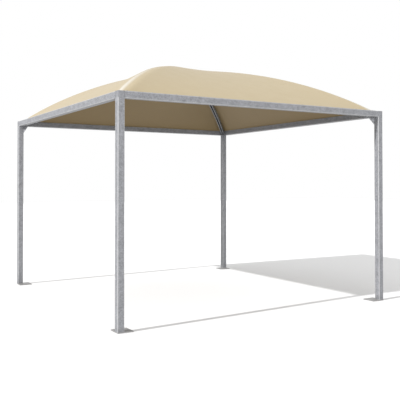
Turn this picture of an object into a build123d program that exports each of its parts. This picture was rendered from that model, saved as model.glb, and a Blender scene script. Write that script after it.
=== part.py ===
"""Open-sided steel gazebo: square-tube frame, crossed arches and a stretched fabric canopy.

The origin is the centre of the plan at floor level. +Z is up and -Y is the front.
"""
import os
from math import asin, degrees, sqrt

from build123d import *

os.makedirs("parts", exist_ok=True)

# ---- Driving dimensions, mm ----
plan = 4000.0                # outer faces of the frame, both ways
frame_top = 2620.0           # floor to the top of the beams
tube = 80.0                  # square hollow section of the posts and beams
tube_wall = 3.0
tube_radius = 6.0            # outer corner radius of that section

plate_side = 190.0
plate_thickness = 10.0
anchor_hole = 14.0
anchor_near = 60.0           # hole centre from one outer edge of the plate
anchor_far = 140.0           # and from the other outer edge
cap_thickness = 4.0

arch_width = 50.0            # lipped channel section of the arches, slot down
arch_depth = 60.0
arch_wall = 4.0
arch_slot = 24.0             # between the lips
arch_crown = 671.0           # top of the arches over the frame top, at the centre
arch_spring = -5.0           # and at the inner corner of the frame
arch_end_gap = 30.0          # from the inner corner to the arch's cut end
hub_side = 120.0
hub_wall = 5.0
hub_height = 66.0

gusset_thickness = 8.0
gusset_reach = 72.0          # along the diagonal, below the beams
gusset_drop = 105.0          # down the post, below the beams
gusset_nose = 8.0            # upright edge before the slope begins
web_gap = 1.0                # from the gusset to the channel's web

bar_width = 36.0             # flat bars that clamp the canopy's hem to the beams
bar_thickness = 5.0
fabric = 3.0                 # canopy shell, thicker than the real cloth
fabric_lift = 1.0            # clear of the arches
canopy_curve = 1.73          # how the middle of a panel rises from the beam to the crown
ridge_half = 50.0            # the cloth is level across an arch for this much each way
canopy_stations = 8

# ---- Worked out from them ----
half = plan / 2
inner = half - tube                       # inner faces of the beams
diagonal = inner * sqrt(2)                # centre to the frame's inner corner
arch_rise = arch_crown - arch_spring
arch_radius = (diagonal**2 + arch_rise**2) / (2 * arch_rise)
arch_centre = frame_top + arch_crown - arch_radius
beam_length = plan - 2 * tube
beam_bottom = frame_top - tube
post_length = frame_top - plate_thickness - cap_thickness
crown_reach = hub_side / sqrt(2)          # the hub's corners, out from the centre
root_half = sqrt(0.5)

corners = {
    "front_left": (-1, -1),
    "front_right": (1, -1),
    "back_right": (1, 1),
    "back_left": (-1, 1),
}
# side: (outward direction, direction along the beam)
sides = {
    "front": (Vector(0, -1, 0), Vector(1, 0, 0)),
    "right": (Vector(1, 0, 0), Vector(0, 1, 0)),
    "back": (Vector(0, 1, 0), Vector(-1, 0, 0)),
    "left": (Vector(-1, 0, 0), Vector(0, -1, 0)),
}


def save(part, name):
    part.label = name
    export_step(part, f"parts/{name}.step")


def arch_top(from_centre):
    """Height of an arch's top at a distance from the centre, along its diagonal."""
    return arch_centre + sqrt(arch_radius**2 - from_centre**2)


def tube_section():
    """The square hollow section, on the plane of the sketch that is open."""
    RectangleRounded(tube, tube, tube_radius)
    RectangleRounded(tube - 2 * tube_wall, tube - 2 * tube_wall, tube_radius - tube_wall,
                     mode=Mode.SUBTRACT)


def make_post(name, sx, sy):
    axis_x = sx * (half - tube / 2)
    axis_y = sy * (half - tube / 2)
    with BuildPart() as post:
        with BuildSketch(Plane(origin=(axis_x, axis_y, plate_thickness))):
            tube_section()
        extrude(amount=post_length)
    save(post.part, f"post_{name}")

    with BuildPart() as cap:
        with BuildSketch(Plane(origin=(axis_x, axis_y, frame_top - cap_thickness))):
            RectangleRounded(tube, tube, tube_radius)
        extrude(amount=cap_thickness)
    save(cap.part, f"post_cap_{name}")


def make_foot_plate(name, sx, sy):
    """The post stands on the plate's outer corner, and the anchor holes are inside it."""
    centre = half - plate_side / 2
    with BuildPart() as plate:
        with BuildSketch(Plane(origin=(sx * centre, sy * centre, 0))):
            Rectangle(plate_side, plate_side)
        extrude(amount=plate_thickness)
        with Locations(
            (sx * (half - anchor_far), sy * (half - anchor_near), plate_thickness),
            (sx * (half - anchor_near), sy * (half - anchor_far), plate_thickness),
        ):
            Hole(anchor_hole / 2)
    save(plate.part, f"foot_plate_{name}")


def make_beam(side, outward, along):
    centre = outward * (half - tube / 2) + Vector(0, 0, frame_top - tube / 2)
    start = centre - along * (beam_length / 2)
    with BuildPart() as beam:
        with BuildSketch(Plane(origin=start, x_dir=outward, z_dir=along)):
            tube_section()
        extrude(amount=beam_length)
    save(beam.part, f"beam_{side}")

    bar_line = outward * (inner + bar_width / 2) + Vector(0, 0, frame_top + fabric)
    with BuildPart() as bar:
        with BuildSketch(Plane(origin=bar_line, x_dir=along)):
            Rectangle(2 * inner, bar_width)
        extrude(amount=bar_thickness)
    save(bar.part, f"clamp_bar_{side}")


def make_arch(name, sx, sy):
    """Half of a crossed arch: a lipped channel turned about the arch's level axis."""
    out = Vector(sx, sy, 0) * root_half
    across = Vector(0, 0, 1).cross(out)
    turn = degrees(asin((diagonal + arch_end_gap) / arch_radius))
    section = Plane(origin=(0, 0, arch_centre), x_dir=across, z_dir=out)
    with BuildPart() as arch:
        with BuildSketch(section):
            with Locations((0, arch_radius - arch_depth / 2)):
                Rectangle(arch_width, arch_depth)
                Rectangle(arch_width - 2 * arch_wall, arch_depth - 2 * arch_wall,
                          mode=Mode.SUBTRACT)
            with Locations((0, arch_radius - arch_depth)):
                Rectangle(arch_slot, 2 * arch_wall, mode=Mode.SUBTRACT)
        revolve(axis=Axis((0, 0, arch_centre), across), revolution_arc=turn)
        split(bisect_by=Plane(origin=out * (hub_side / 2), z_dir=out), keep=Keep.TOP)
        split(bisect_by=Plane(origin=out * (diagonal - arch_end_gap), z_dir=out),
              keep=Keep.BOTTOM)
    save(arch.part, f"arch_{name}")


def make_gusset(name, sx, sy):
    """Plate that stands on the diagonal: it holds an arch's end to the post and the beams."""
    out = Vector(sx, sy, 0) * root_half
    across = Vector(0, 0, 1).cross(out)
    post_edge = diagonal + tube_radius * (sqrt(2) - 1)
    upright = Plane(origin=(0, 0, 0), x_dir=out, z_dir=-across)
    tip = diagonal - gusset_reach
    edge = diagonal - gusset_thickness / 2
    inside = arch_wall + web_gap
    with BuildPart() as gusset:
        with BuildSketch(upright):
            with BuildLine():
                Polyline(
                    (post_edge, beam_bottom - gusset_drop),
                    (tip, beam_bottom - gusset_nose),
                    (tip, arch_top(tip) - inside),
                    (edge, arch_top(edge) - inside),
                    (edge, beam_bottom),
                    (post_edge, beam_bottom),
                    close=True,
                )
            make_face()
        extrude(amount=gusset_thickness / 2, both=True)
    save(gusset.part, f"gusset_{name}")


def make_hub():
    """Square cap, turned to face the four arches and open below."""
    top = arch_top(hub_side / 2)
    turned = Plane(origin=(0, 0, top - hub_height), x_dir=(root_half, root_half, 0))
    with BuildPart() as hub:
        with BuildSketch(turned):
            Rectangle(hub_side, hub_side)
        extrude(amount=hub_height)
        with BuildSketch(turned):
            Rectangle(hub_side - 2 * hub_wall, hub_side - 2 * hub_wall)
        extrude(amount=hub_height - hub_wall, mode=Mode.SUBTRACT)
    save(hub.part, "crown_hub")


def make_canopy(side, outward, along):
    """A quarter of the canopy: from a beam to the crown, over the arches on both edges.

    Each station is an upright slice parallel to the beam. It is level across the arch at
    each end, and between them the cloth hangs in a shallow arc. The hem is a flat strip
    on the beam, under the clamp bar.
    """
    strip = ridge_half * sqrt(2)
    with BuildPart() as panel:
        for station in range(canopy_stations):
            share = 1 - station / (canopy_stations - 1)
            reach = crown_reach + share * (inner - crown_reach)
            end = max(arch_top(reach * sqrt(2)) + fabric_lift, frame_top)
            edge = arch_top((reach - strip / 2) * sqrt(2)) + fabric_lift
            middle = frame_top + (arch_crown + fabric_lift) * (1 - share**canopy_curve)
            with BuildSketch(Plane(origin=outward * reach, x_dir=along, z_dir=outward)):
                with BuildLine():
                    for face in (0, fabric):
                        Line((-reach, end + face), (strip - reach, edge + face))
                        ThreePointArc((strip - reach, edge + face), (0, middle + face),
                                      (reach - strip, edge + face))
                        Line((reach - strip, edge + face), (reach, end + face))
                    Line((-reach, end), (-reach, end + fabric))
                    Line((reach, end), (reach, end + fabric))
                make_face()
        loft()
        hem_line = outward * (inner + bar_width / 2) + Vector(0, 0, frame_top)
        with BuildSketch(Plane(origin=hem_line, x_dir=along)):
            Rectangle(2 * inner, bar_width)
        extrude(amount=fabric)
    save(panel.part, f"canopy_{side}")


def make_crown_patch():
    """The middle of the canopy, lying on the hub."""
    side = 2 * (crown_reach - fabric_lift)
    with BuildPart() as patch:
        with BuildSketch(Plane(origin=(0, 0, arch_top(hub_side / 2) + fabric_lift))):
            Rectangle(side, side)
        extrude(amount=fabric)
    save(patch.part, "canopy_crown")


for corner, (sign_x, sign_y) in corners.items():
    make_post(corner, sign_x, sign_y)
    make_foot_plate(corner, sign_x, sign_y)
    make_arch(corner, sign_x, sign_y)
    make_gusset(corner, sign_x, sign_y)
for side_name, (side_out, side_along) in sides.items():
    make_beam(side_name, side_out, side_along)
    make_canopy(side_name, side_out, side_along)
make_hub()
make_crown_patch()
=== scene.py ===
# %% [markdown]
# # An open-sided gazebo under a stretched cloth
#
# The real object is a square frame of galvanised steel tube on four posts. Two arches cross
# over it, and a cover of coated cloth is pulled tight over the arches and clamped to the beams.
#
# The steel arrives from the CAD model already in its place, so this notebook only looks after
# what the eye reads: the cloth, the finishes, the welds and the bolts. Run it from top to bottom.

# %% Load the fixed frame
import math

import bpy
import numpy as np
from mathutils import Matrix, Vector


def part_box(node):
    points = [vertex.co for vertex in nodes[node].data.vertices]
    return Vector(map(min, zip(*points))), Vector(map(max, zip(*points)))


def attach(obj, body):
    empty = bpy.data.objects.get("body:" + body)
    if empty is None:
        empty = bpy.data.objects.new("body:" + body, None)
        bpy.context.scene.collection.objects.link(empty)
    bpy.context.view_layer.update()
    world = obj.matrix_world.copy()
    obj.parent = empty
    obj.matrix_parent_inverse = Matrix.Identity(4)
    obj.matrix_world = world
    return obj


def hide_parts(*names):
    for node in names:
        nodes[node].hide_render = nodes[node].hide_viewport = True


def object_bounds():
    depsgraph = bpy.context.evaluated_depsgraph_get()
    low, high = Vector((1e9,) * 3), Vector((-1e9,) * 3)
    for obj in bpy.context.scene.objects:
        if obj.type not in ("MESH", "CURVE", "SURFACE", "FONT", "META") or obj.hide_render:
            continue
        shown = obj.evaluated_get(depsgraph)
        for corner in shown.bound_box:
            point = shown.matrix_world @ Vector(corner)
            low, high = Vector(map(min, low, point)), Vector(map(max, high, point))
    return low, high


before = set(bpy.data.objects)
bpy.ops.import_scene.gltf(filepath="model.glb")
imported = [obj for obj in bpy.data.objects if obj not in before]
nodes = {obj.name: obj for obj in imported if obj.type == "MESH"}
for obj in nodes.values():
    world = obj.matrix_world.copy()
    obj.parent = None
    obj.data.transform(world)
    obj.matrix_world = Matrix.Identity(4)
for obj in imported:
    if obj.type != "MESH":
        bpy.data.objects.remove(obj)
cad_low, cad_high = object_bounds()
print(len(nodes), "steel and cloth solids; the model is", [round(s, 3) for s in cad_high - cad_low], "m")

# %% [markdown]
# ## Sizes, read and not typed
#
# A size that is typed twice will disagree one day. The tube, the beams and the plates are
# measured from the CAD pieces, and the names below are used everywhere after this.

# %% Measure the frame
beam_low, beam_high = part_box("beam_front")
bar_low, bar_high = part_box("clamp_bar_front")
_, plate_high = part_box("foot_plate_front_left")
hub_low, hub_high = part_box("crown_hub")

half = cad_high.x
tube = beam_high.z - beam_low.z
inner = half - tube
frame_top = beam_high.z
beam_bottom = beam_low.z
plate_top = plate_high.z
hub_half = (hub_high.x - hub_low.x) / 2 / math.sqrt(2)
corner_names = ["front_left", "front_right", "back_right", "back_left"]
side_names = ["front", "right", "back", "left"]
print("tube", round(tube, 3), "inside the beams", round(2 * inner, 3), "beam top at", round(frame_top, 3))


# %% [markdown]
# The arches are channels whose top edge is part of a circle. Two points of that edge are enough
# to find the circle again: its middle lies on the vertical line through the crown.

# %% Find the curve of the arches
def arch_edge_points():
    """Top points of one half arch: the distance from the crown's line, and the height."""
    places = [v.co for v in nodes["arch_front_left"].data.vertices]
    out = [((abs(p.x) + abs(p.y)) / math.sqrt(2), p.z) for p in places]
    nearest = min(s for s, z in out)
    farthest = max(s for s, z in out)
    first = max((p for p in out if p[0] < nearest + 0.001), key=lambda p: p[1])
    last = max((p for p in out if p[0] > farthest - 0.001), key=lambda p: p[1])
    return first, last


(hub_reach, hub_height), (foot_reach, foot_height) = arch_edge_points()
arch_centre = (
    (foot_reach**2 - hub_reach**2 + foot_height**2 - hub_height**2)
    / (2 * (foot_height - hub_height))
)
arch_radius = math.hypot(hub_reach, hub_height - arch_centre)
diagonal = inner * math.sqrt(2)


def arch_top(distance):
    """Height of the arches' top edge at a distance from the crown's line."""
    return arch_centre + np.sqrt(arch_radius**2 - np.minimum(distance, diagonal) ** 2)


print("arch radius", round(arch_radius, 3), "crown at", round(float(arch_top(0.0)), 3))

# %% [markdown]
# ## Camera, floor and light
#
# The camera comes first, because every later choice is judged through it. It stands at eye
# height off the front left corner, with a lens a little longer than normal. The shift slides the
# picture without tilting the camera, so the posts stay upright.

# %% Place the camera
camera_data = bpy.data.cameras.new("camera")
camera = bpy.data.objects.new("camera", camera_data)
bpy.context.scene.collection.objects.link(camera)
bpy.context.scene.camera = camera
camera.location = (-4.806, -8.336, 1.602)
camera.rotation_euler = (math.radians(91.008), 0.0, math.radians(-29.925))
camera_data.sensor_width = 36.0
camera_data.lens = 57.61
camera_data.shift_x = 0.036
camera_data.shift_y = -0.0672
camera_data.clip_end = 200.0
print("lens", camera_data.lens, "mm")

# %% [markdown]
# The floor is one large pale plane. The standard view transform keeps the colours as they are
# mixed below.

# %% Lay the floor
FLOOR_SIDE = 90.0

bpy.ops.object.select_all(action="DESELECT")
bpy.ops.mesh.primitive_plane_add(size=FLOOR_SIDE, location=(0.0, 0.0, -0.002))
floor = bpy.context.object
floor.name = "floor"
bpy.context.scene.view_settings.view_transform = "Standard"
print("floor", FLOOR_SIDE, "m square")

# %% [markdown]
# The light is a bright, even studio: a white surround gives the soft part. One sun from the left,
# a little in front of the frame's side, gives the steel a lit side and lays the shadow of the
# cover on the floor to the right. A second, weak and very soft sun stands low in front, and
# reaches in under the cover, where the surround alone would leave the beams dull.

# %% Light the studio
SUN_HEIGHT = 32.4      # degrees above the floor
SUN_FORWARD = 6.0      # degrees in front of the frame's left side
SUN_POWER = 4.4
SUN_SPREAD = 1.0       # degrees across
FILL_POWER = 2.2
FILL_HEIGHT = 7.0
FILL_SIDE = 20.0       # degrees to the left of straight in front
FILL_SPREAD = 40.0

world = bpy.data.worlds.new("studio")
bpy.context.scene.world = world
world.use_nodes = True
world.node_tree.nodes["Background"].inputs["Color"].default_value = (1.0, 1.0, 1.0, 1.0)
world.node_tree.nodes["Background"].inputs["Strength"].default_value = 1.0

sun_data = bpy.data.lights.new("sun", "SUN")
sun = bpy.data.objects.new("sun", sun_data)
bpy.context.scene.collection.objects.link(sun)
sun.rotation_euler = (0.0, math.radians(SUN_HEIGHT - 90.0), math.radians(SUN_FORWARD))
sun_data.energy = SUN_POWER
sun_data.angle = math.radians(SUN_SPREAD)

fill_data = bpy.data.lights.new("fill", "SUN")
fill = bpy.data.objects.new("fill", fill_data)
bpy.context.scene.collection.objects.link(fill)
fill_data.energy = FILL_POWER
fill_data.angle = math.radians(FILL_SPREAD)
fill.rotation_euler = (math.radians(90.0 - FILL_HEIGHT), 0.0, math.radians(-FILL_SIDE))
print("sun", SUN_HEIGHT, "degrees high, fill", FILL_HEIGHT)


# %% [markdown]
# ## A small language for materials
#
# A material is a graph of nodes, and maths written as nodes is hard to read. The class below
# wraps one output of a node, so that `mask * 0.3 + 0.5` adds the Math nodes by itself. The
# second class is a material being made, with one method for every other kind of node.

# %% Wrap the sockets
class Value:
    """One number that varies over a surface."""

    def __init__(self, finish, socket):
        self.finish = finish
        self.socket = socket

    def of(self, output):
        """Another output of the same node."""
        return Value(self.finish, self.socket.node.outputs[output])

    def math(self, operation, *others):
        sockets = {0: self}
        for place, other in enumerate(others, start=1):
            sockets[place] = other
        return self.finish.node("ShaderNodeMath", sockets, operation=operation)

    def __add__(self, other):
        return self.math("ADD", other)

    def __sub__(self, other):
        return self.math("SUBTRACT", other)

    def __rsub__(self, other):
        return self.math("MULTIPLY_ADD", -1.0, other)

    def __mul__(self, other):
        return self.math("MULTIPLY", other)

    def __truediv__(self, other):
        return self.math("DIVIDE", other)

    __radd__ = __add__
    __rmul__ = __mul__

    def size(self):
        return self.math("ABSOLUTE")

    def least(self, other):
        return self.math("MINIMUM", other)

    def most(self, other):
        return self.math("MAXIMUM", other)

    def rise(self, start, end):
        """0 before start, 1 after end and a smooth step between. With end below start it falls."""
        low, high = min(start, end), max(start, end)
        ends = (0.0, 1.0) if end > start else (1.0, 0.0)
        return self.finish.node(
            "ShaderNodeMapRange",
            {"Value": self, "From Min": low, "From Max": high, "To Min": ends[0], "To Max": ends[1]},
            interpolation_type="SMOOTHSTEP",
        )


class Finish:
    """A material, made node by node."""

    def __init__(self, name):
        self.material = bpy.data.materials.new(name)
        self.material.use_nodes = True
        self.tree = self.material.node_tree
        self.shader = self.tree.nodes["Principled BSDF"]
        self.place = self.node("ShaderNodeTexCoord", {}, output="Object")

    def node(self, kind, sockets, output=0, **settings):
        """Adds a node: its settings first, then the values or links of its sockets."""
        made = self.tree.nodes.new(kind)
        for name, value in settings.items():
            setattr(made, name, value)
        for name, value in sockets.items():
            if isinstance(value, Value):
                self.tree.links.new(value.socket, made.inputs[name])
            else:
                made.inputs[name].default_value = value
        return Value(self, made.outputs[output])

    def mix(self, factor, first, second):
        """Goes from the first colour to the second as the factor goes from 0 to 1."""
        return self.node(
            "ShaderNodeMix", {0: factor, 6: first, 7: second}, output=2, data_type="RGBA"
        )

    def noise(self, scale, detail=2.0, roughness=0.5, place=None):
        """Cloudy noise from 0 to 1; scale is the number of lumps in a metre."""
        sockets = {
            "Vector": place or self.place,
            "Scale": scale,
            "Detail": detail,
            "Roughness": roughness,
        }
        return self.node("ShaderNodeTexNoise", sockets, output="Fac")

    def axes(self, place=None):
        """The three coordinates, as numbers."""
        split = self.node("ShaderNodeSeparateXYZ", {0: place or self.place}, output="X")
        return split, split.of("Y"), split.of("Z")

    def bump(self, height, distance, under=None):
        """Turns a height from 0 to 1 into relief that is distance metres deep."""
        sockets = {"Height": height, "Distance": distance, "Strength": 1.0}
        if under:
            sockets["Normal"] = under
        return self.node("ShaderNodeBump", sockets, output="Normal")

    def set(self, **inputs):
        """Sets the shader's own sockets: numbers stay constants, and values are linked."""
        for name, value in inputs.items():
            socket = self.shader.inputs[name.replace("_", " ").title().replace("Ior", "IOR")]
            if isinstance(value, Value):
                self.tree.links.new(value.socket, socket)
            else:
                socket.default_value = value
        return self.material


def colour(red, green, blue):
    """A colour given as it looks on a screen, from 0 to 255, as the linear numbers shaders use."""
    screen = [c / 255 for c in (red, green, blue)]
    linear = [c / 12.92 if c <= 0.04045 else ((c + 0.055) / 1.055) ** 2.4 for c in screen]
    return (*linear, 1.0)


print("material helpers ready")

# %% [markdown]
# ### Floor paint
#
# A matt, pale paint. It has a faint large-scale unevenness, because a perfectly even floor looks
# like a hole in the picture.

# %% Paint the floor
FLOOR_DARK = (0.655, 0.655, 0.655, 1.0)
FLOOR_PALE = (0.675, 0.675, 0.675, 1.0)

paint = Finish("floor_paint")
cloud = paint.noise(0.35, detail=1.0)
floor.data.materials.append(
    paint.set(base_color=paint.mix(cloud, FLOOR_DARK, FLOOR_PALE), roughness=0.9)
)
print("floor painted")


# %% [markdown]
# ### Hot-dip galvanised steel
#
# Zinc freezes on steel in flat crystals a centimetre or two across, called spangle. Each crystal
# reflects a little differently, so the tube looks mottled, cool grey and half dull. A Voronoi
# texture has such cells. Noise bends its coordinates, so the cells get ragged edges, and a
# second, larger noise makes the slow light and dark blotches that are seen from far away.
# Long faint runs show how the zinc drained while the frame hung above the bath.

# %% Mix the zinc
ZINC_DARK = colour(91, 92, 95)
ZINC_LIGHT = colour(141, 142, 146)
ZINC_WORN = colour(172, 172, 172)
ZINC_DULL = colour(92, 92, 93)
SPANGLE = 78.0      # crystals in a metre
BLOTCHES = 13.0
METAL = 0.22        # dull zinc scatters most of its light, and only part of it is reflected


def zinc(finish):
    """What varies over bare zinc: its shade, about 0 to 1, a second number for each crystal,
    the blotches and the grain."""
    bend = finish.node(
        "ShaderNodeTexNoise",
        {"Vector": finish.place, "Scale": 90.0, "Detail": 2.0},
        output="Color",
    )
    shaken = finish.node(
        "ShaderNodeVectorMath",
        {0: bend, 1: (0.010, 0.010, 0.010), 2: finish.place},
        operation="MULTIPLY_ADD",
    )
    cells = finish.node(
        "ShaderNodeTexVoronoi", {"Vector": shaken, "Scale": SPANGLE}, output="Color"
    )
    crystal, other, _ = finish.axes(cells)
    blotch = finish.noise(BLOTCHES, detail=3.0, roughness=0.6)
    grain = finish.noise(420.0, detail=2.0)
    shade = crystal * 0.42 + blotch * 0.75 + grain * 0.16 - 0.17
    return shade, other, blotch, grain


print("zinc ready")


# %% [markdown]
# The posts and beams share one finish. The tube's rounded corners are rubbed brighter, and the
# metal within a few centimetres of each weld has the same colour but less gloss. Both masks
# are plain geometry: how far is a point from the middle line of a post,
# in x and in y, and from the middle line of a beam, in z. On a corner of the tube the smallest
# of the three is nearly half the tube, and next to a joint the largest of them is.

# %% Finish for the posts and beams
def tube_steel():
    finish = Finish("galvanised_tube")
    shade, other, blotch, grain = zinc(finish)
    x, y, z = finish.axes()
    axis = half - tube / 2
    from_x = (x.size() - axis).size()
    from_y = (y.size() - axis).size()
    from_z = (z - (frame_top - tube / 2)).size()
    smallest = from_x.least(from_y).least(from_z)
    largest = from_x.most(from_y).most(from_z)
    corner = smallest.rise(tube / 2 - 0.010, tube / 2 - 0.002)
    near_weld = largest.rise(tube / 2 + 0.022, tube / 2 + 0.003)
    near_floor = z.rise(plate_top + 0.10, plate_top)
    stretched = finish.node(
        "ShaderNodeMapping", {"Vector": finish.place, "Scale": (1.0, 1.0, 0.06)}
    )
    runs = finish.noise(70.0, detail=2.0, place=stretched)
    low = z.rise(frame_top - 0.1, frame_top - 0.2)
    shade = shade + (runs - 0.5) * low * 0.35
    base = finish.mix(shade, ZINC_DARK, ZINC_LIGHT)
    base = finish.mix(corner * (0.35 + 0.5 * blotch), base, ZINC_WORN)
    base = finish.mix(near_floor * (0.05 + 0.4 * blotch), base, ZINC_DULL)
    rough = 0.46 + 0.22 * other + 0.10 * near_weld - 0.06 * corner
    relief = finish.bump(shade, 0.0006)
    relief = finish.bump(grain, 0.00025, under=relief)
    return finish.set(base_color=base, metallic=METAL, roughness=rough, normal=relief)


steel_tube = tube_steel()
for name, piece in nodes.items():
    if name.startswith(("post_", "beam_")):
        piece.material_slots[0].material = steel_tube
print("tubes finished")


# %% [markdown]
# ### Steel of the arches
#
# The arches are bent channels with a slot below between two lips. The inside hardly sees the
# light, so it is painted a dark grey as shade. Two distances say what is inside: how far a point
# is from the upright plane of the arch, which is a diagonal of the plan, and how far it is from
# the middle of the arch's circle.

# %% Finish for the arches
ARCH_CAVITY = 0.0211                        # half the width between the walls, and a hair more
ARCH_LIP = arch_radius - 0.0562             # the upper faces of the lips, from the circle's middle


def arch_steel():
    finish = Finish("galvanised_arch")
    shade, other, blotch, grain = zinc(finish)
    x, y, z = finish.axes()
    side = ((x + y).size()).least((x - y).size()) / math.sqrt(2)
    level = z - arch_centre
    from_centre = (x * x + y * y + level * level).math("SQRT")
    between_walls = side.rise(ARCH_CAVITY + 0.0008, ARCH_CAVITY)
    above_lips = from_centre.rise(ARCH_LIP - 0.0008, ARCH_LIP)
    inside = between_walls * above_lips
    base = finish.mix(shade, ZINC_DARK, ZINC_LIGHT)
    # painted shade: the inside of the channel is mixed dark grey
    cavity_shade = finish.mix(blotch, colour(56, 57, 58), colour(82, 83, 84))
    base = finish.mix(inside, base, cavity_shade)
    rough = 0.48 + 0.2 * other + 0.25 * inside
    relief = finish.bump(shade, 0.0006)
    relief = finish.bump(grain, 0.00025, under=relief)
    return finish.set(base_color=base, metallic=METAL, roughness=rough, normal=relief)


steel_arch = arch_steel()
for name, piece in nodes.items():
    if name.startswith("arch_"):
        piece.material_slots[0].material = steel_arch
print("arches finished")


# %% [markdown]
# ### Steel of the small fittings
#
# Plates, bars, the hub and the gussets are cut from sheet. They carry the same zinc, with a
# finer spangle, because thin sheet cools faster.

# %% Finish for the fittings
def fitting_steel():
    finish = Finish("galvanised_fittings")
    shade, other, blotch, _ = zinc(finish)
    fine = finish.noise(160.0, detail=3.0)
    shade = shade * 0.7 + fine * 0.3
    base = finish.mix(shade, ZINC_DARK, ZINC_LIGHT)
    _, _, z = finish.axes()
    dust = z.rise(0.05, 0.0) * (0.1 + 0.5 * blotch)
    base = finish.mix(dust, base, colour(150, 146, 138))
    rough = 0.44 + 0.25 * other
    relief = finish.bump(fine, 0.0004)
    return finish.set(base_color=base, metallic=METAL, roughness=rough, normal=relief)


steel_fitting = fitting_steel()
for name, piece in nodes.items():
    if name.startswith(("clamp_bar_", "foot_plate_", "gusset_", "crown_hub", "post_cap_")):
        piece.material_slots[0].material = steel_fitting
print("fittings finished")

# %% [markdown]
# ## Helpers for making a piece
#
# An operator acts on all that is selected, so each step below first says which pieces it means.
# A finished piece has its place in its mesh and its object at the origin, as the CAD pieces
# have, and the four corners of the frame are alike, so one corner is made and then turned.

# %% Select, settle, join and turn
def only(*pieces):
    """Selects these pieces and nothing else. The first is the active one."""
    bpy.ops.object.select_all(action="DESELECT")
    for piece in pieces:
        piece.select_set(True)
    bpy.context.view_layer.objects.active = pieces[0]


def settle(piece):
    """Puts the piece's place, turn and size into its mesh."""
    only(piece)
    bpy.ops.object.transform_apply(location=True, rotation=True, scale=True)


def joined(pieces, name):
    """Makes one piece of several, and gives it a name."""
    only(*pieces)
    bpy.ops.object.join()
    piece = bpy.context.object
    piece.name = name
    return piece


def apply_all(piece):
    """Applies the piece's modifiers from the first to the last."""
    only(piece)
    for modifier in list(piece.modifiers):
        bpy.ops.object.modifier_apply(modifier=modifier.name)


def fitted(piece, finish, round_below=22.0):
    """Gives a piece of steel its finish and lets it ride with the frame.

    Edges that turn by less than round_below degrees are shaded round.
    """
    only(piece)
    bpy.ops.object.shade_smooth_by_angle(angle=math.radians(round_below))
    piece.data.materials.clear()
    piece.data.materials.append(finish)
    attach(piece, "root")


def turned(piece, quarters, name):
    """A copy with its own mesh, turned about the middle of the plan by quarter turns."""
    only(piece)
    bpy.ops.object.duplicate()
    copy = bpy.context.object
    copy.name = name
    copy.rotation_euler.z = math.radians(90.0 * quarters)
    settle(copy)
    return copy


print("helpers ready")


# %% [markdown]
# ## Plates, bars, caps, gussets and the crown piece
#
# Sheet steel that has been cut, filed and dipped has no sharp edge: zinc rounds every corner by
# about a millimetre, and that thin round is what catches the light. The CAD pieces are sharp, and
# they are loose triangles, so each one is copied, its doubles are merged, the flat triangles are
# dissolved back into whole faces, and a bevel that is limited by angle rounds what is left.

# %% Round the edges of the sheet steel
FILED = 0.0009               # width of the round on every edge


def rounded(node):
    """Stands for a CAD piece, with its edges filed and dipped."""
    piece = bpy.data.objects.new("rounded_" + node, nodes[node].data.copy())
    bpy.context.scene.collection.objects.link(piece)
    only(piece)
    bpy.ops.object.mode_set(mode="EDIT")
    bpy.ops.mesh.select_all(action="SELECT")
    bpy.ops.mesh.remove_doubles(threshold=0.00002)
    bpy.ops.mesh.dissolve_limited(angle_limit=math.radians(0.5))
    bpy.ops.object.mode_set(mode="OBJECT")
    filed = piece.modifiers.new("filed", "BEVEL")
    filed.width = FILED
    filed.segments = 2
    filed.limit_method = "ANGLE"
    filed.angle_limit = math.radians(40.0)
    apply_all(piece)
    fitted(piece, steel_fitting)
    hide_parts(node)
    return piece


sheet_steel = ["foot_plate_" + name for name in corner_names]
sheet_steel += ["gusset_" + name for name in corner_names]
sheet_steel += ["post_cap_" + name for name in corner_names]
sheet_steel += ["clamp_bar_" + name for name in side_names]
sheet_steel += ["crown_hub"]
rounded_pieces = [rounded(node) for node in sheet_steel]
print(len(rounded_pieces), "pieces rounded")

# %% [markdown]
# ## Welds
#
# A weld bead is a row of small overlapping ripples, laid down one after the other. One ripple is
# a low ball with few faces, and an Array modifier repeats it along the joint. Only the joints
# that aren't flush carry a bead: the post on its plate, the undersides of the beams, both sides of
# the gusset, and the arch on the crown piece. The flush outer joints are ground smooth.

# %% Lay the beads of one corner
RIPPLE_STEP = 0.0036
BEAD = 0.0036            # how far a bead stands out from the corner that it fills
GUSSET_FACE = 0.0050     # from the gusset's middle to the beads on its faces
ARCH_FACE = 0.0255       # from the arch's middle to the beads on its sides


def bead(start, end):
    """A weld bead from one point to another."""
    run = Vector(end) - Vector(start)
    count = max(2, round(run.length / RIPPLE_STEP))
    bpy.ops.object.select_all(action="DESELECT")
    bpy.ops.mesh.primitive_uv_sphere_add(segments=8, ring_count=5, radius=BEAD, location=start)
    ripple = bpy.context.object
    settle(ripple)
    row = ripple.modifiers.new("row", "ARRAY")
    row.count = count + 1
    row.use_relative_offset = False
    row.use_constant_offset = True
    row.constant_offset_displace = run / count
    apply_all(ripple)
    return ripple


def corner_point(distance, aside, height):
    """A point near the front left corner: along the diagonal, then across it."""
    along = distance / math.sqrt(2)
    shift = aside / math.sqrt(2)
    return (-along + shift, -along - shift, height)


gusset_low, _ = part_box("gusset_front_left")
post_in = half - 0.007        # the beads stop at the round corners of the tube
post_out = inner + 0.003
hub_top = hub_high.z

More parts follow.
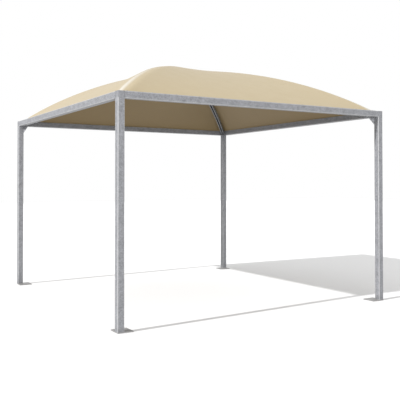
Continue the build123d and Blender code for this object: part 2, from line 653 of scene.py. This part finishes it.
beads = [
    bead((-inner, -post_in, plate_top), (-inner, -post_out, plate_top)),
    bead((-post_in, -inner, plate_top), (-post_out, -inner, plate_top)),
    bead((-inner, -post_in, beam_bottom), (-inner, -post_out, beam_bottom)),
    bead((-post_in, -inner, beam_bottom), (-post_out, -inner, beam_bottom)),
]
for aside in (-GUSSET_FACE, GUSSET_FACE):
    beads.append(
        bead(
            corner_point(diagonal + 0.004, aside, gusset_low.z + 0.004),
            corner_point(diagonal + 0.004, aside, beam_bottom),
        )
    )
    beads.append(
        bead(
            corner_point(diagonal - 0.005, aside, beam_bottom),
            corner_point(diagonal - 0.005, aside, frame_top - 0.012),
        )
    )
for aside in (-ARCH_FACE, ARCH_FACE):
    beads.append(
        bead(
            corner_point(hub_half + 0.001, aside, hub_top - 0.056),
            corner_point(hub_half + 0.001, aside, hub_top - 0.006),
        )
    )
welds = joined(beads, "welds_front_left")
fitted(welds, steel_fitting, round_below=60.0)
print("welds of one corner:", len(welds.data.polygons), "faces")

# %% [markdown]
# ## Bolts at the feet of the arches
#
# One bolt goes through both walls of the arch and the gusset between them. A hexagonal head is a
# six-sided cylinder whose end face is inset and raised, which gives the turned chamfer. The washer
# is a low round cylinder with its edges bevelled.

# %% Make a bolt head and a nut
def disc(sides, radius, low, high):
    """A short cylinder that stands on the Z axis between two heights."""
    bpy.ops.object.select_all(action="DESELECT")
    bpy.ops.mesh.primitive_cylinder_add(
        vertices=sides, radius=radius, depth=high - low, location=(0.0, 0.0, (low + high) / 2)
    )
    piece = bpy.context.object
    settle(piece)
    return piece


def chamfered(piece, size):
    """Insets the upper end face and raises it, as if its rim were turned down."""
    only(piece)
    bpy.ops.object.mode_set(mode="EDIT")
    bpy.ops.mesh.select_all(action="DESELECT")
    bpy.ops.object.mode_set(mode="OBJECT")
    for face in piece.data.polygons:
        face.select = face.normal.z > 0.9
    bpy.ops.object.mode_set(mode="EDIT")
    bpy.ops.mesh.inset(thickness=size, depth=size * 0.5)
    bpy.ops.object.mode_set(mode="OBJECT")
    return piece


def washer(radius, thickness):
    piece = disc(24, radius, 0.0, thickness)
    edge = piece.modifiers.new("edge", "BEVEL")
    edge.width = thickness * 0.25
    edge.segments = 2
    edge.limit_method = "ANGLE"
    apply_all(piece)
    return piece


def hexagon(size, thickness, shank):
    """A washer with a hexagon on it, for a screw of this size. A nut shows the shank's end."""
    seat = washer(size * 1.05, thickness)
    body = chamfered(disc(6, size * 0.92, thickness, thickness + size * 0.62), size * 0.10)
    parts = [seat, body]
    if shank:
        parts.append(chamfered(disc(16, size / 2, thickness, thickness + size * 0.95), size * 0.08))
    return joined(parts, "hexagon")


BOLT = 0.012
WASHER = 0.0025
bolt_reach = diagonal - 0.051
bolt_height = float(arch_top(bolt_reach)) - 0.034
bolt_side = 0.0250           # the outer face of the arch's wall

head = hexagon(BOLT, WASHER, shank=False)
head.location = corner_point(bolt_reach, bolt_side, bolt_height)
head.rotation_euler = (0.0, math.radians(90.0), math.radians(-45.0))
settle(head)
nut = hexagon(BOLT, WASHER, shank=True)
nut.location = corner_point(bolt_reach, -bolt_side, bolt_height)
nut.rotation_euler = (0.0, math.radians(90.0), math.radians(135.0))
settle(nut)
bolts = joined([head, nut], "arch_bolt_front_left")
fitted(bolts, steel_fitting)
print("bolt at", [round(v, 3) for v in corner_point(bolt_reach, bolt_side, bolt_height)])

# %% [markdown]
# ## Screws of the clamp bars
#
# A row of small flanged screws presses each bar on the hem, about a hand's length and a half
# apart. One screw is made and an Array modifier repeats it.

# %% Screw the bars down
SCREW = 0.0063
SCREW_FLANGE = 0.0016
SCREWS = 13
SCREW_MARGIN = 0.055         # from the end of the bar to its first screw

screw = hexagon(SCREW, SCREW_FLANGE, shank=False)
bar_middle = (bar_low.y + bar_high.y) / 2
first_x = bar_low.x + SCREW_MARGIN
screw.location = (first_x, bar_middle, bar_high.z)
settle(screw)
row = screw.modifiers.new("row", "ARRAY")
row.count = SCREWS
row.use_relative_offset = False
row.use_constant_offset = True
row.constant_offset_displace = (-2 * first_x / (SCREWS - 1), 0.0, 0.0)
apply_all(screw)
screw.name = "bar_screws_front"
fitted(screw, steel_fitting)
print("screws", round(-2 * first_x / (SCREWS - 1), 3), "m apart")

# %% Turn the first corner and the first side to the others
for quarters in (1, 2, 3):
    for piece, name in (
        (welds, "welds_" + corner_names[quarters]),
        (bolts, "arch_bolt_" + corner_names[quarters]),
        (screw, "bar_screws_" + side_names[quarters]),
    ):
        copy = turned(piece, quarters, name)
        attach(copy, "root")
print("fittings on all four corners")

# %% [markdown]
# ## The cover
#
# The cover is one continuous sheet of coated cloth: four gores welded together along the
# arches. A stretched cloth takes the shape of a soap film. Where it can move, every point lies
# at the mean height of its neighbours. That rule is easy to run: start from any shape, hold the
# points that touch steel, and let every other point go to the mean of its four neighbours, over
# and over. Going a little past the mean each time gets there in hundreds of rounds, not
# thousands. The coated cloth is also a little stiff, so it stands slightly fuller than a soap
# film, and a small constant is added for that. Along the arches it is doubled for the seam: this
# stiffer band stays level for a hand's width before it falls away, and then its edge is softened.

# %% Settle the cloth between the arches and the beams
CELLS = 217              # squares across; the strip on an arch is four half-diagonals wide
CLOTH_GAP = 0.0004       # air between the cloth and the steel
STRIP_HALF = 0.0255      # half the width of the channel that the cloth lies on
BAND_HALF = 0.064        # half the width of the doubled, stiffer cloth along each arch
FULLNESS = 0.22          # how much fuller than a soap film, 1/m
SOFTENING = 3            # rounds that soften the edges of the band
OVERSHOOT = 1.97
ROUNDS = 700

step = 2 * inner / CELLS
line = np.linspace(-inner, inner, CELLS + 1)
across_x, across_y = np.meshgrid(line, line, indexing="ij")
to_first = np.abs(across_x - across_y) / math.sqrt(2)
to_second = np.abs(across_x + across_y) / math.sqrt(2)
along_arch = np.where(to_first < to_second, to_second, to_first)
to_arch = np.minimum(to_first, to_second)
on_hub = np.maximum(to_first, to_second) <= hub_half + step / 2
on_arch = (to_arch <= STRIP_HALF) | on_hub
on_band = (to_arch <= BAND_HALF) | on_hub
on_beam = np.maximum(np.abs(across_x), np.abs(across_y)) > inner - step / 4
height = arch_top(np.maximum(np.abs(across_x), np.abs(across_y)) * math.sqrt(2)) + CLOTH_GAP
height = np.where(on_band, np.maximum(arch_top(along_arch), frame_top) + CLOTH_GAP, height)
height = np.where(on_hub, arch_top(0.0) + CLOTH_GAP, height)
height = np.where(on_beam, frame_top + CLOTH_GAP, height)

free = ~(on_band | on_beam)[1:-1, 1:-1]
row, column = np.indices(free.shape)
for _ in range(ROUNDS):
    for parity in (0, 1):
        mean = (
            height[:-2, 1:-1] + height[2:, 1:-1] + height[1:-1, :-2] + height[1:-1, 2:]
        ) / 4 + FULLNESS * step**2 / 4
        moving = free & ((row + column) % 2 == parity)
        middle = height[1:-1, 1:-1]
        height[1:-1, 1:-1] = np.where(moving, middle + OVERSHOOT * (mean - middle), middle)

soft = ~(on_arch | on_beam)[1:-1, 1:-1]
for _ in range(SOFTENING):
    mean = (height[:-2, 1:-1] + height[2:, 1:-1] + height[1:-1, :-2] + height[1:-1, 2:]) / 4
    height[1:-1, 1:-1] = np.where(soft, mean, height[1:-1, 1:-1])
print("height halfway up a gore:", round(float(height[CELLS // 2, CELLS // 4]), 4))

# %% [markdown]
# The heights become a mesh. The hem runs on past the inner edge of the beams and lies flat
# under the clamp bars, so two rows are added outside the grid, with the corners left open
# where the posts come up. Each square is split along the direction of its own arch, which
# lets the crease beside the arch run straight.

# %% Make the sheet's mesh
HEM_ROWS = [0.004, 0.041]     # outwards from the inner edge of the beams
CLOTH_THICKNESS = 0.0016


def cover_mesh():
    """The underside of the cover as a mesh, with a map that runs along the threads."""
    count = len(HEM_ROWS)
    outer = [inner + r for r in HEM_ROWS]
    places = np.array([-r for r in reversed(outer)] + list(line) + outer)
    size = len(places)
    levels = np.full((size, size), frame_top + CLOTH_GAP)
    levels[count:-count, count:-count] = height
    grid_x, grid_y = np.meshgrid(places, places, indexing="ij")
    points = np.stack([grid_x, grid_y, levels], axis=-1).reshape(-1, 3)
    outside = np.abs(places) > inner + 1e-6
    faces = []
    for i in range(size - 1):
        for j in range(size - 1):
            if (outside[i] or outside[i + 1]) and (outside[j] or outside[j + 1]):
                continue
            a, b = i * size + j, (i + 1) * size + j
            c, d = b + 1, a + 1
            same_sign = (places[i] + places[i + 1]) * (places[j] + places[j + 1]) > 0
            faces += [(a, b, c), (a, c, d)] if same_sign else [(a, b, d), (b, c, d)]
    used = sorted({corner for face in faces for corner in face})
    renumber = {old: new for new, old in enumerate(used)}
    mesh = bpy.data.meshes.new("canopy_cover")
    mesh.from_pydata(points[used].tolist(), [], [[renumber[v] for v in f] for f in faces])
    threads = mesh.uv_layers.new(name="threads")
    corners = np.array([renumber[v] for f in faces for v in f])
    corner_points = points[used][corners]
    middles = corner_points.reshape(-1, 3, 3).mean(axis=1)
    front = np.repeat(np.abs(middles[:, 1]) > np.abs(middles[:, 0]), 3)
    along = np.where(front, corner_points[:, 0], corner_points[:, 1])
    up = np.where(front, corner_points[:, 1], corner_points[:, 0])
    threads.data.foreach_set("uv", np.stack([along, up], axis=-1).astype(np.float32).ravel())
    mesh.polygons.foreach_set("use_smooth", np.ones(len(faces), bool))
    mesh.update()
    return mesh


cover = bpy.data.objects.new("canopy_cover", cover_mesh())
bpy.context.scene.collection.objects.link(cover)
print("cover:", len(cover.data.vertices), "points,", len(cover.data.polygons), "triangles")


# %% [markdown]
# ### Coated cloth
#
# Sand-coloured polyester with a coat of soft plastic on both sides. The four gores are welded
# with a lap, which lies on the same side of every arch. From near by the threads show as a fine
# square weave under the coat; from far away the coat gives a soft sheen. Beside the arches a
# painted highlight lightens the cloth towards the corners. Faint marks cloud both sides, and the
# inside is mixed darker and warmer as painted shade.

# %% Mix the cloth
CLOTH_LIT = colour(153, 140, 113)
CLOTH_DEEP = colour(143, 130, 103)
# a pale tone: the doubled lap's own, and a painted highlight beside the arches
CLOTH_LAP_AND_HIGHLIGHT = colour(174, 171, 163)
CLOTH_GRIME = colour(120, 108, 86)
# the inside's colours are painted shade: the same cloth, mixed darker and warmer than outside
SHADED_UNDER_PALE = colour(122, 105, 73)
SHADED_UNDER_DEEP = colour(107, 90, 61)
SHADED_UNDER_SEAM = colour(88, 75, 52)
THREAD = 0.0011          # metres from thread to thread
SEAM_NEAR = -0.010       # the welded lap starts this far past the middle of the arch
SEAM_FAR = 0.062         # and ends this far to its other side


def weave(finish):
    """Height of the threads from 0 to 1, on the cloth's own map."""
    threads = finish.node("ShaderNodeUVMap", {}, uv_map="threads")
    u, v, _ = finish.axes(threads)
    turns = 2 * math.pi / THREAD
    warp = (u * turns).math("SINE")
    weft = (v * turns).math("SINE")
    return warp * weft * 0.5 + 0.5


def seam_lap(finish):
    """How far a point is from its arch's middle, positive on the side of the lap, and x and y."""
    x, y, _ = finish.axes()
    first = (x - y) / math.sqrt(2)
    second = (x + y) / math.sqrt(2)
    on_first = first.size().math("LESS_THAN", second.size())
    lap_first = first * second.math("SIGN")
    lap_second = second * first.math("SIGN") * -1.0
    return lap_first * on_first + lap_second * (1.0 - on_first), x, y


def cloth_outside():
    finish = Finish("coated_cloth_outside")
    lap, x, y = seam_lap(finish)
    slow = finish.noise(0.9, detail=2.0)
    marks = finish.noise(7.0, detail=3.0, roughness=0.55)
    reach = x.size().most(y.size())
    inside_lap = lap.rise(SEAM_NEAR - 0.001, SEAM_NEAR + 0.001) * lap.rise(SEAM_FAR + 0.001, SEAM_FAR)
    # painted highlight: a pale band on the lap side of each arch, stronger towards the corners
    highlight_towards_corners = reach.rise(inner * 0.45, inner * 0.98)
    painted_ridge_highlight = lap.rise(-0.008, 0.034) * lap.rise(0.100, 0.052) * highlight_towards_corners
    edges = ((lap - SEAM_NEAR).size()).least((lap - SEAM_FAR).size())
    weld_line = edges.rise(0.0026, 0.0006)
    hem = reach.rise(inner - 0.012, inner - 0.002)
    base = finish.mix(0.30 + 0.40 * slow + 0.20 * marks, CLOTH_LIT, CLOTH_DEEP)
    # the lap is a little paler, and the band beside the arches is a painted highlight
    base = finish.mix(inside_lap * 0.10 + painted_ridge_highlight * 0.62, base, CLOTH_LAP_AND_HIGHLIGHT)
    base = finish.mix(weld_line * 0.30, base, CLOTH_GRIME)
    base = finish.mix(hem * (0.15 + 0.3 * marks), base, CLOTH_GRIME)
    rough = 0.42 + 0.10 * marks - 0.06 * inside_lap
    relief = finish.bump(weave(finish), 0.00008)
    relief = finish.bump(inside_lap, 0.0006, under=relief)
    relief = finish.bump(marks, 0.0008, under=relief)
    return finish.set(base_color=base, roughness=rough, normal=relief, specular_ior_level=0.5)


def cloth_inside():
    finish = Finish("coated_cloth_inside_shaded")
    lap, _, _ = seam_lap(finish)
    slow = finish.noise(0.8, detail=2.0)
    marks = finish.noise(9.0, detail=3.0)
    edges = ((lap - SEAM_NEAR).size()).least((lap - SEAM_FAR).size())
    weld_line = edges.rise(0.0030, 0.0008)
    # painted shade: the inside is mixed darker and warmer than the outside
    base = finish.mix(0.25 + 0.4 * slow + 0.15 * marks, SHADED_UNDER_PALE, SHADED_UNDER_DEEP)
    base = finish.mix(weld_line * 0.3, base, SHADED_UNDER_SEAM)
    relief = finish.bump(weave(finish), 0.00008)
    relief = finish.bump(marks, 0.0008, under=relief)
    return finish.set(base_color=base, roughness=0.6, normal=relief, specular_ior_level=0.3)


cover.data.materials.append(cloth_outside())
cover.data.materials.append(cloth_inside())
print("cloth mixed")

# %% [markdown]
# Solidify gives the sheet its thickness. With an offset of 1 the mesh made above stays as the
# underside and the new face grows upwards. The underside takes the next material in the list.

# %% Give the cloth its thickness
bpy.ops.object.select_all(action="DESELECT")
bpy.context.view_layer.objects.active = cover
cover.select_set(True)
shell = cover.modifiers.new("thickness", "SOLIDIFY")
shell.thickness = CLOTH_THICKNESS
shell.offset = 1.0
shell.material_offset = 1
bpy.ops.object.modifier_apply(modifier=shell.name)
cloth_area = sum(p.area for p in cover.data.polygons) / 2
print("cloth area", round(cloth_area, 2), "square metres")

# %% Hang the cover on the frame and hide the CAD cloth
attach(cover, "root")
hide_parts("canopy_front", "canopy_right", "canopy_back", "canopy_left", "canopy_crown")

# %% [markdown]
# ## The CAD box
#
# The dressed model has to stay inside the CAD model's box, apart from a little room for cloth.

# %% Print the CAD box
print("CAD box", [round(v, 4) for v in (*cad_low, *cad_high)])
